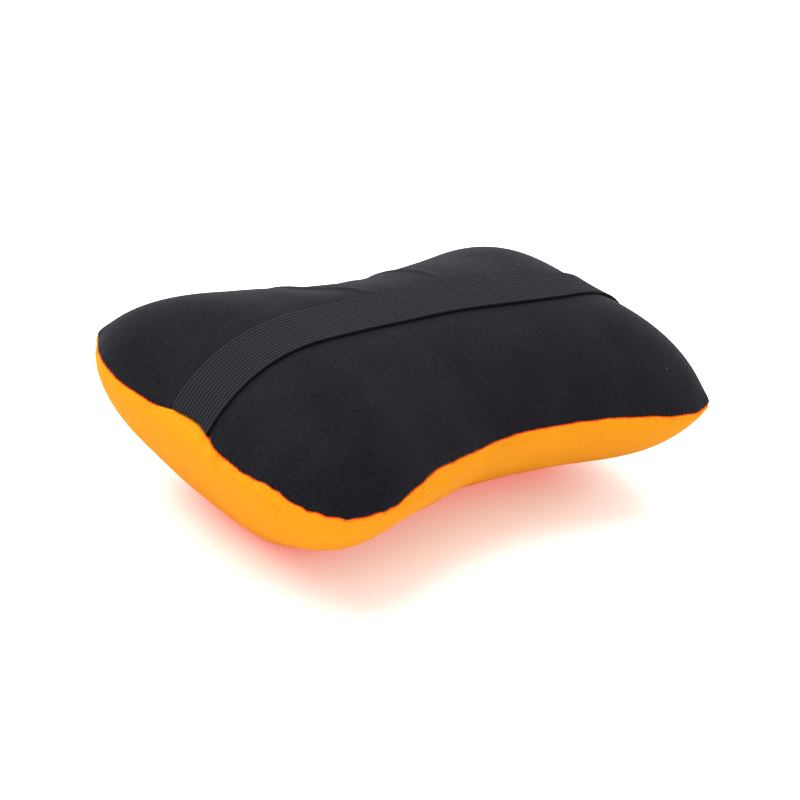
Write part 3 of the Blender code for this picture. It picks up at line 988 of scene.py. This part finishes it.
def make_strap():
    over = [strap_line(share, True) for share in np.linspace(-1, 1, RIBS * LINES_PER_RIB + 1)]
    under = [strap_line(share, False) for share in np.linspace(-1, 1, RIBS + 1)[::-1]]
    sheet = Sheet()
    rings = [sheet.add(points, flat) for points, flat in over + under]
    for a, b in zip(rings, rings[1:] + rings[:1]):
        sheet.faces += np.stack([a[:-1], a[1:], b[1:], b[:-1]], -1).tolist()
    for end in (0, -1):
        sheet.faces.append([int(ring[end]) for ring in rings])
    return finish_mesh("strap", sheet)


strap = make_strap()

# %% [markdown]
# ## Thread
# A stitch is a short spindle of thread, thin where it dives through the cloth. One swept curve all round
# would be quicker, but it would look like a wire. So each stitch is its own closed spindle of a few dozen
# faces, and a run of them is one piece.

# %% Thread
# Along a stitch: the share of its length, and how full the thread is there.
SPINDLE = [(0.0, 0.35), (0.15, 0.85), (0.5, 1.0), (0.85, 0.85), (1.0, 0.35)]


def thread_run(name, starts, ends, radius):
    """Short stitches, each a little spindle of thread from a start to an end."""
    sheet = Sheet()
    circle = np.linspace(0, 2 * np.pi, 8, endpoint=False)
    for start, end in zip(starts, ends):
        along = end - start
        length = np.linalg.norm(along)
        across = np.cross(along, UP) / np.linalg.norm(np.cross(along, UP))
        rise = np.cross(across, along) / length
        rings = []
        for share, girth in SPINDLE:
            spokes = across * np.cos(circle)[:, None] + rise * np.sin(circle)[:, None]
            flat = np.stack([share * length + 0 * circle, circle * 0.0002], -1)
            rings.append(sheet.add(start + along * share + spokes * radius * girth, flat))
        for a, b in zip(rings, rings[1:]):
            sheet.bridge(a, b)
        sheet.faces.append(rings[0].tolist())
        sheet.faces.append(rings[-1][::-1].tolist())
    return finish_mesh(name, sheet)


print("rings in a stitch:", len(SPINDLE))

# %% [markdown]
# ## Stitches in the seam
# The thread shows at the bottom of the groove, one stitch from each needle hole to the next. It stops
# beside the strap's two ends, which cover it. Along the back it also stops at the middle, where the hole
# that the beads went in through was closed afterwards, with a run of its own.

# %% Stitches in the seam
THREAD_RADIUS = 0.0003
STITCH_SINK = 0.00012  # how deep the stitches lie past where they would touch both folds
BESIDE_STRAP = 0.002
HALF_CLOSING = 0.030


def seam_stitches(name, start, end):
    """One run of stitches in the seam's groove, from one walk to another, needle hole to needle hole."""
    pitch = 4 * QUARTER / STITCHES
    holes = np.arange(math.ceil(start / pitch), math.floor(end / pitch)) * pitch
    depth = ROLL - math.sqrt((ROLL + THREAD_RADIUS) ** 2 - (ROLL + SEAM_GAP / 2) ** 2) + STITCH_SINK
    ends = []
    for share in (0.05, 0.95):
        seam = seam_at(np.mod(holes + share * pitch, 4 * QUARTER))
        place = (seam.fold[1] + seam.fold[-1]) / 2 + seam.inward * depth
        place[:, 2] = seam.point[:, 2]
        ends.append(place)
    return thread_run(name, ends[0], ends[1], THREAD_RADIUS)


strap_side = walk_at_across(HALF_STRAP + BESIDE_STRAP)
closing_side = np.interp(-HALF_CLOSING, -quarter_x, QUARTER_WALK)
front_thread = seam_stitches("stitches_front", 2 * QUARTER + strap_side, 4 * QUARTER - strap_side)
back_right_thread = seam_stitches("stitches_back_right", strap_side, closing_side)
back_left_thread = seam_stitches("stitches_back_left", 2 * QUARTER - closing_side, 2 * QUARTER - strap_side)
closing_thread = seam_stitches("stitches_closing", closing_side, 2 * QUARTER - closing_side)

# %% [markdown]
# ## The sewing inside
# The cut edges of knit curl and ladder, so thread is looped round both allowances all the way round. Only
# its thickness matters in there, so it is one thin band with a U for its section. Each end of the strap
# is also held to the allowance by a bar of eighteen tight stitches.

# %% The sewing inside
OVERLOCK_BITE = 0.0030
OVERLOCK_THICKNESS = 0.0005
CLEAR = 0.0003  # between the cloth and the thread round it
TACK_STITCHES = 18
HALF_TACK = 0.0085
TACK_FROM, TACK_TO = 0.0055, 0.0036  # in from the end of the allowance
TACK_RADIUS = 0.00045


def make_overlock():
    """Thread wrapped round both allowances all the way round, as one thin U-shaped band."""
    seam = seam_at(np.linspace(0, 4 * QUARTER, 600, endpoint=False))
    mouth, end = ALLOWANCE - OVERLOCK_BITE, ALLOWANCE + CLEAR
    inside = {side: side * (seam.slot[side] + CLOTH + CLEAR) for side in (1, -1)}
    outside = {side: inside[side] + side * OVERLOCK_THICKNESS for side in (1, -1)}
    back = end + OVERLOCK_THICKNESS
    section = [
        (mouth, outside[1]), (back, outside[1]), (back, outside[-1]), (mouth, outside[-1]),
        (mouth, inside[-1]), (end, inside[-1]), (end, inside[1]), (mouth, inside[1]),
    ]
    sheet = Sheet()
    flat = [np.stack([seam.walk, 0 * seam.walk + 0.001 * k], -1) for k in range(len(section))]
    rings = [sheet.add(seam.at(depth, height), flat[k]) for k, (depth, height) in enumerate(section)]
    for a, b in zip(rings, rings[1:] + rings[:1]):
        sheet.bridge(a, b)
    return finish_mesh("overlocked_edge", sheet)


def make_tack(name, end):
    """Tight stitches side by side over one end of the strap."""
    across = strap_drift(end * HALF_LENGTH) + np.linspace(-HALF_TACK, HALF_TACK, TACK_STITCHES)
    walk = np.array([signed_walk(walk_at_across(abs(y)), end, y) for y in across])
    seam = seam_at(walk)
    height = seam.slot[1] + CLOTH + CLEAR + OVERLOCK_THICKNESS
    starts, ends = seam.at(ALLOWANCE - TACK_FROM, height), seam.at(ALLOWANCE - TACK_TO, height)
    return thread_run(name, starts, ends, TACK_RADIUS)


overlocked_edge = make_overlock()
tack_left = make_tack("tack_left", -1)
tack_right = make_tack("tack_right", 1)

# %% [markdown]
# ## A small kit for node groups
# The finishes are shader node groups: a pattern is wired once, and each material uses it with its own
# colours. Wiring by hand in the shader editor is fine for one material. For several, four small helpers
# keep the code near to the sums that it stands for: a new group, a math node, a noise and a mix of two
# colours.


# %% A small kit for node groups
def new_group(name, inputs, outputs):
    """An empty shader node group with named sockets, and its input and output nodes."""
    group = bpy.data.node_groups.new(name, "ShaderNodeTree")
    for label, kind, value in inputs:
        socket = group.interface.new_socket(name=label, in_out="INPUT", socket_type=kind)
        if value is not None:
            socket.default_value = value
    for label, kind in outputs:
        group.interface.new_socket(name=label, in_out="OUTPUT", socket_type=kind)
    return group, group.nodes.new("NodeGroupInput"), group.nodes.new("NodeGroupOutput")


def math_node(tree, operation, a, b=None, c=None, clamp=False):
    node = tree.nodes.new("ShaderNodeMath")
    node.operation = operation
    node.use_clamp = clamp
    for socket, value in zip(node.inputs, (a, b, c)):
        if value is None:
            continue
        if isinstance(value, (int, float)):
            socket.default_value = value
        else:
            tree.links.new(value, socket)
    return node.outputs[0]


def noise_node(tree, place, scale, detail=2.0):
    node = tree.nodes.new("ShaderNodeTexNoise")
    node.inputs["Scale"].default_value = scale
    node.inputs["Detail"].default_value = detail
    tree.links.new(place, node.inputs["Vector"])
    return node.outputs["Fac"]


def mix_colour(tree, share, low, high):
    """A colour between low and high. Each may be a colour or a socket."""
    node = tree.nodes.new("ShaderNodeMix")
    node.data_type = "RGBA"
    tree.links.new(share, node.inputs["Factor"])
    for label, value in (("A", low), ("B", high)):
        socket = next(s for s in node.inputs if s.name == label and s.type == "RGBA")
        if isinstance(value, tuple):
            socket.default_value = (*value, 1)
        else:
            tree.links.new(value, socket)
    return next(s for s in node.outputs if s.type == "RGBA")


print("a new group starts with", len(bpy.data.node_groups), "others in the file")

# %% [markdown]
# ## Fine knit
# Jersey has wales, which run along the cloth, and courses, which run across it and bend a little at each
# loop. Two sine waves over the flat pattern draw both, so the loops run straight, as when the cloth was
# cut. Noise adds a soft mottle, and a few cells of a Voronoi pattern become specks of lint.


# %% Fine knit
def knit_group():
    """Fine jersey: a height for the bump, a mottle for the colour and a mask for the lint."""
    tree, source, result = new_group("fine_knit", [
        ("Cloth", "NodeSocketVector", None), ("Place", "NodeSocketVector", None),
        ("Wale", "NodeSocketFloat", 0.0006), ("Course", "NodeSocketFloat", 0.0005),
    ], [("Height", "NodeSocketFloat"), ("Mottle", "NodeSocketFloat"), ("Lint", "NodeSocketFloat")])
    split = tree.nodes.new("ShaderNodeSeparateXYZ")
    tree.links.new(source.outputs["Cloth"], split.inputs[0])
    wale = math_node(tree, "DIVIDE", split.outputs["X"], source.outputs["Wale"])
    wale = math_node(tree, "SINE", math_node(tree, "MULTIPLY", wale, 2 * math.pi))
    course = math_node(tree, "DIVIDE", split.outputs["Y"], source.outputs["Course"])
    course = math_node(tree, "MULTIPLY_ADD", wale, 0.22, course)
    course = math_node(tree, "SINE", math_node(tree, "MULTIPLY", course, 2 * math.pi))
    loops = math_node(tree, "MULTIPLY_ADD", wale, 0.6, math_node(tree, "MULTIPLY", course, 0.4))
    fuzz = noise_node(tree, source.outputs["Place"], 1500, 1.0)
    height = math_node(tree, "MULTIPLY_ADD", loops, 0.25, fuzz)
    tree.links.new(height, result.inputs["Height"])
    soft = noise_node(tree, source.outputs["Place"], 35, 3.0)
    fine = noise_node(tree, source.outputs["Place"], 950, 2.0)
    mottle = math_node(tree, "MULTIPLY_ADD", math_node(tree, "SUBTRACT", fine, 0.5), 1.7, soft)
    mottle = math_node(tree, "MULTIPLY_ADD", loops, 0.10, mottle, clamp=True)
    tree.links.new(mottle, result.inputs["Mottle"])
    cells = tree.nodes.new("ShaderNodeTexVoronoi")
    cells.inputs["Scale"].default_value = 75
    tree.links.new(source.outputs["Place"], cells.inputs["Vector"])
    near = math_node(tree, "LESS_THAN", cells.outputs["Distance"], 0.030)
    tint = tree.nodes.new("ShaderNodeSeparateColor")
    tree.links.new(cells.outputs["Color"], tint.inputs[0])
    chosen = math_node(tree, "GREATER_THAN", tint.outputs["Red"], 0.55)
    bright = math_node(tree, "MULTIPLY", near, chosen)
    tree.links.new(math_node(tree, "MULTIPLY", bright, tint.outputs["Green"]), result.inputs["Lint"])
    return tree


KNIT = knit_group()
print("node group:", KNIT.name)

# %% [markdown]
# ## Ribbed elastic
# Each rib is a cord of rubber wrapped in small slanted loops of thread. The ribs' shape is in the mesh
# already. The group adds the loops, slanting both ways from a rib's crest and set off from one rib to the
# next, and a mask for the colour: the loops' own pattern, and painted shade that is dark in the valleys.

# %% Ribbed elastic
LOOP_PITCH = 0.0014


def elastic_group(pitch):
    """Ribs and the little slanted loops that wrap each rubber cord, over the strap's length and width."""
    tree, source, result = new_group("ribbed_elastic", [
        ("Cloth", "NodeSocketVector", None), ("Place", "NodeSocketVector", None),
    ], [("Height", "NodeSocketFloat"), ("Painted Shading", "NodeSocketFloat")])
    split = tree.nodes.new("ShaderNodeSeparateXYZ")
    tree.links.new(source.outputs["Cloth"], split.inputs[0])
    rib = math_node(tree, "DIVIDE", split.outputs["Y"], pitch)
    whole = math_node(tree, "FLOOR", rib)
    inside = math_node(tree, "SUBTRACT", math_node(tree, "SUBTRACT", rib, whole), 0.5)
    crest = math_node(tree, "COSINE", math_node(tree, "MULTIPLY", inside, math.pi))
    crest = math_node(tree, "POWER", math_node(tree, "MAXIMUM", crest, 0.0), 0.8)
    slant = math_node(tree, "ABSOLUTE", inside)
    offset = math_node(tree, "MULTIPLY", whole, 0.37)
    step = math_node(tree, "MULTIPLY_ADD", split.outputs["X"], 1 / LOOP_PITCH, offset)
    step = math_node(tree, "MULTIPLY_ADD", slant, 1.1, step)
    loops = math_node(tree, "SINE", math_node(tree, "MULTIPLY", step, 2 * math.pi))
    loops = math_node(tree, "MULTIPLY_ADD", loops, 0.5, 0.5)
    fuzz = noise_node(tree, source.outputs["Place"], 1800, 1.0)
    height = math_node(tree, "MULTIPLY", crest, math_node(tree, "MULTIPLY_ADD", loops, 0.6, 0.4))
    height = math_node(tree, "MULTIPLY_ADD", fuzz, 0.25, height)
    tree.links.new(height, result.inputs["Height"])
    # painted shade: the colour darkens into the valleys between the ribs, times the loops' own pattern
    shade = math_node(tree, "MULTIPLY", crest, math_node(tree, "MULTIPLY_ADD", loops, 0.75, 0.25))
    tree.links.new(math_node(tree, "MULTIPLY_ADD", fuzz, 0.1, shade, clamp=True), result.inputs["Painted Shading"])
    return tree


ELASTIC = elastic_group(STRAP_WIDTH / RIBS)
print("node group:", ELASTIC.name)

# %% [markdown]
# ## Twisted thread
# Sewing thread is two or three plies twisted together, which show as slanted stripes. One sine wave that
# runs along and round the thread at once draws them, and noise makes them a little fuzzy.

# %% Twisted thread
PLY_LENGTH = 0.0007
PLY_ROUND = 0.00126


def thread_group():
    """The slanted plies of twisted thread, along and round it."""
    tree, source, result = new_group("twisted_thread", [
        ("Cloth", "NodeSocketVector", None), ("Place", "NodeSocketVector", None),
    ], [("Ply", "NodeSocketFloat")])
    split = tree.nodes.new("ShaderNodeSeparateXYZ")
    tree.links.new(source.outputs["Cloth"], split.inputs[0])
    turn = math_node(tree, "MULTIPLY", split.outputs["X"], 1 / PLY_LENGTH)
    turn = math_node(tree, "MULTIPLY_ADD", split.outputs["Y"], 1 / PLY_ROUND, turn)
    ply = math_node(tree, "SINE", math_node(tree, "MULTIPLY", turn, 2 * math.pi))
    fuzz = noise_node(tree, source.outputs["Place"], 1500, 1.0)
    ply = math_node(tree, "MULTIPLY_ADD", ply, 0.35, fuzz, clamp=True)
    tree.links.new(ply, result.inputs["Ply"])
    return tree


THREAD = thread_group()
print("node group:", THREAD.name)

# %% [markdown]
# ## Packed beads
# The beads are about a millimetre across. A Voronoi pattern has one round cell for each, and the distance
# from a cell's middle gives both its height and a painted shading: a painted highlight on each bead's crest
# and painted shade between the beads.

# %% Packed beads
BEADS_PER_METRE = 900


def bead_group():
    """Round beads a millimetre across, packed side by side."""
    tree, source, result = new_group("packed_beads", [
        ("Cloth", "NodeSocketVector", None), ("Place", "NodeSocketVector", None),
    ], [("Height", "NodeSocketFloat"), ("Painted Shading", "NodeSocketFloat")])
    cells = tree.nodes.new("ShaderNodeTexVoronoi")
    cells.inputs["Scale"].default_value = BEADS_PER_METRE
    tree.links.new(source.outputs["Place"], cells.inputs["Vector"])
    height = math_node(tree, "SUBTRACT", 1.0, cells.outputs["Distance"])
    tree.links.new(height, result.inputs["Height"])
    # painted shading: lighter on each bead's crest, painted shade between the beads
    tree.links.new(math_node(tree, "POWER", height, 2.0, clamp=True), result.inputs["Painted Shading"])
    return tree


BEADS = bead_group()
print("node group:", BEADS.name)

# %% [markdown]
# ## Putting a group in a material
# A material holds the shader, and the group feeds it. What is the same all over the surface, such as the
# roughness, is set on the shader itself. The group gets two inputs: the flat pattern for the weave, and
# the place on the object for noise that has no direction.


# %% Putting a group in a material
def new_material(name, roughness, specular=0.15):
    material = bpy.data.materials.new(name)
    material.use_nodes = True
    shader = material.node_tree.nodes["Principled BSDF"]
    shader.inputs["Roughness"].default_value = roughness
    shader.inputs["Specular IOR Level"].default_value = specular
    return material, material.node_tree, shader


def use_group(tree, group):
    """The group in a material, reading the piece's flat pattern and its place."""
    node = tree.nodes.new("ShaderNodeGroup")
    node.node_tree = group
    place = tree.nodes.new("ShaderNodeTexCoord")
    tree.links.new(place.outputs["Object"], node.inputs["Place"])
    pattern = tree.nodes.new("ShaderNodeUVMap")
    pattern.uv_map = "flat_pattern"
    tree.links.new(pattern.outputs["UV"], node.inputs["Cloth"])
    return node


def bump(tree, shader, height, strength, distance):
    node = tree.nodes.new("ShaderNodeBump")
    node.inputs["Strength"].default_value = strength
    node.inputs["Distance"].default_value = distance
    tree.links.new(height, node.inputs["Height"])
    tree.links.new(node.outputs["Normal"], shader.inputs["Normal"])


print("materials so far:", len(bpy.data.materials))

# %% [markdown]
# ## Two kinds of cloth
# The knit is a matte shader with a little sheen, from the loose fibres that catch light at a grazing
# angle, and a fine bump. The other finishes, elastic, thread, bag and beads, are simpler: a mask between
# two colours, and the same mask or a height for the bump.

# %% Two kinds of cloth
KNIT_BUMP = 0.00025
PATTERN_BUMP = 0.0003


def knit_material(name, dark, light, lint, specular, sheen):
    material, tree, shader = new_material(name, 0.85, specular)
    knit = use_group(tree, KNIT)
    colour = mix_colour(tree, knit.outputs["Mottle"], dark, light)
    colour = mix_colour(tree, knit.outputs["Lint"], colour, lint)
    tree.links.new(colour, shader.inputs["Base Color"])
    bump(tree, shader, knit.outputs["Height"], 0.5, KNIT_BUMP)
    shader.inputs["Sheen Weight"].default_value = sheen
    shader.inputs["Sheen Roughness"].default_value = 0.35
    return material, shader


def patterned_material(name, group, mask, dark, light, strength, roughness=0.7):
    """A matte material between two colours, by one of a group's masks, which also gives its bump."""
    material, tree, shader = new_material(name, roughness)
    node = use_group(tree, group)
    tree.links.new(mix_colour(tree, node.outputs[mask], dark, light), shader.inputs["Base Color"])
    height = node.outputs["Height"] if "Height" in node.outputs else node.outputs[mask]
    bump(tree, shader, height, strength, PATTERN_BUMP)
    return material, shader


print("bumps:", KNIT_BUMP, "and", PATTERN_BUMP, "m")

# %% [markdown]
# ## The black and the orange knit
# The black is a true soft black with a cool sheen. The orange is a daylight-bright dye: it takes in blue
# light and gives it back as orange and red, so it looks brighter than white cloth could. Cycles has no
# such dye, and a weak red emission stands in for it. Near the ground the emission is painted light: it
# grows much brighter there, and makes the red pool under the pillow.

# %% The black and the orange knit
GLOW_HEIGHT = 0.016
GLOW_REACH = 1.25


def dye_glow_and_painted_underglow(tree, shader, side, under, strength):
    """A weak red glow for the dye, and painted light below it: a much brighter red glow near the ground."""
    place = tree.nodes.new("ShaderNodeTexCoord")
    split = tree.nodes.new("ShaderNodeSeparateXYZ")
    tree.links.new(place.outputs["Object"], split.inputs[0])
    share = math_node(tree, "MULTIPLY_ADD", split.outputs["Z"], -1 / GLOW_HEIGHT, GLOW_REACH, clamp=True)
    tree.links.new(mix_colour(tree, share, side, under), shader.inputs["Emission Color"])
    shader.inputs["Emission Strength"].default_value = strength


black_knit, shader = knit_material(
    "black_knit", (0.0026, 0.0025, 0.0038), (0.0088, 0.0085, 0.0110), (0.20, 0.20, 0.21), 0.04, 0.035)
shader.inputs["Sheen Tint"].default_value = (0.8, 0.9, 1.0, 1)
orange_knit, shader = knit_material(
    "orange_knit", (0.425, 0.166, 0.0036), (0.495, 0.204, 0.0054), (0.60, 0.33, 0.08), 0.04, 0.0)
# painted light: the orange's red emission is much brighter near the ground, to light the pool under the
# pillow
dye_glow_and_painted_underglow(orange_knit.node_tree, shader, (0.20, 0.004, 0.001), (1.0, 0.02, 0.02), 0.45)
print("knits:", black_knit.name, orange_knit.name)

# %% [markdown]
# ## Strap, thread, bag and beads
# The elastic is nearly black in its valleys and dark grey on its crests, and duller than the knit; the
# black of the valleys is painted shade. The seam's thread is a deeper, redder orange than the cloth and
# glows red: that red and the glow are painted light, for the light that the orange cloth bounces round in
# the seam's groove. What lies inside is plain: black thread, white bag, white beads.

# %% Strap, thread, bag and beads
# painted shade: near black in the valleys between the ribs, dark grey on the crests
black_elastic, shader = patterned_material(
    "black_elastic", ELASTIC, "Painted Shading", (0.0006, 0.0006, 0.0010), (0.019, 0.020, 0.025), 0.8, 0.8)
shader.inputs["Specular IOR Level"].default_value = 0.08
# painted light: the seam thread's deep red and its red emission stand for light bounced round in the seam's
# groove
orange_thread, shader = patterned_material(
    "orange_thread", THREAD, "Ply", (0.42, 0.018, 0.002), (0.66, 0.045, 0.004), 0.4, 0.6)
shader.inputs["Emission Color"].default_value = (1.0, 0.03, 0.0, 1)
shader.inputs["Emission Strength"].default_value = 0.35
black_thread, _ = patterned_material(
    "black_thread", THREAD, "Ply", (0.010, 0.010, 0.012), (0.030, 0.030, 0.034), 0.4, 0.6)
liner_cloth, _ = patterned_material(
    "liner_cloth", KNIT, "Mottle", (0.74, 0.74, 0.72), (0.84, 0.84, 0.82), 0.4)
# the beads' colour follows the painted shading: lit crests, painted shade between beads
micro_beads, _ = patterned_material(
    "micro_beads", BEADS, "Painted Shading", (0.70, 0.70, 0.68), (0.93, 0.93, 0.91), 1.0, 0.55)
print("materials:", len(bpy.data.materials))

# %% [markdown]
# ## What moves
# Only the strap moves. Its ends stay sewn in and its middle can be pulled up off the crown. Here it is
# left on no body, with its place baked into its mesh. Every other piece rides on the pillow's body, and
# the frame's part for each piece is hidden.

# %% Ride, and hide the frame's parts
PIECES = [
    (top_knit, "top_panel", "black_knit", black_knit),
    (bottom_knit, "bottom_panel", "orange_knit", orange_knit),
    (strap, "elastic_strap", "black_elastic", black_elastic),
    (front_thread, "seam_thread_front", "orange_thread", orange_thread),
    (back_right_thread, "seam_thread_back_right", "orange_thread", orange_thread),
    (back_left_thread, "seam_thread_back_left", "orange_thread", orange_thread),
    (closing_thread, "closing_stitch", "orange_thread", orange_thread),
    (overlocked_edge, "overlock_thread", "black_thread", black_thread),
    (tack_left, "strap_tack_left", "black_thread", black_thread),
    (tack_right, "strap_tack_right", "black_thread", black_thread),
    (inner_bag_upper, "liner_upper", "liner_cloth", liner_cloth),
    (inner_bag_lower, "liner_lower", "liner_cloth", liner_cloth),
    (beads, "bead_fill", "micro_beads", micro_beads),
]
for piece, node, slot, material in PIECES:
    piece.data.materials.append(material)
    if piece is strap:
        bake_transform(piece)
    else:
        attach(piece, "pillow")
    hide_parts(node)
print("pieces:", len(PIECES))
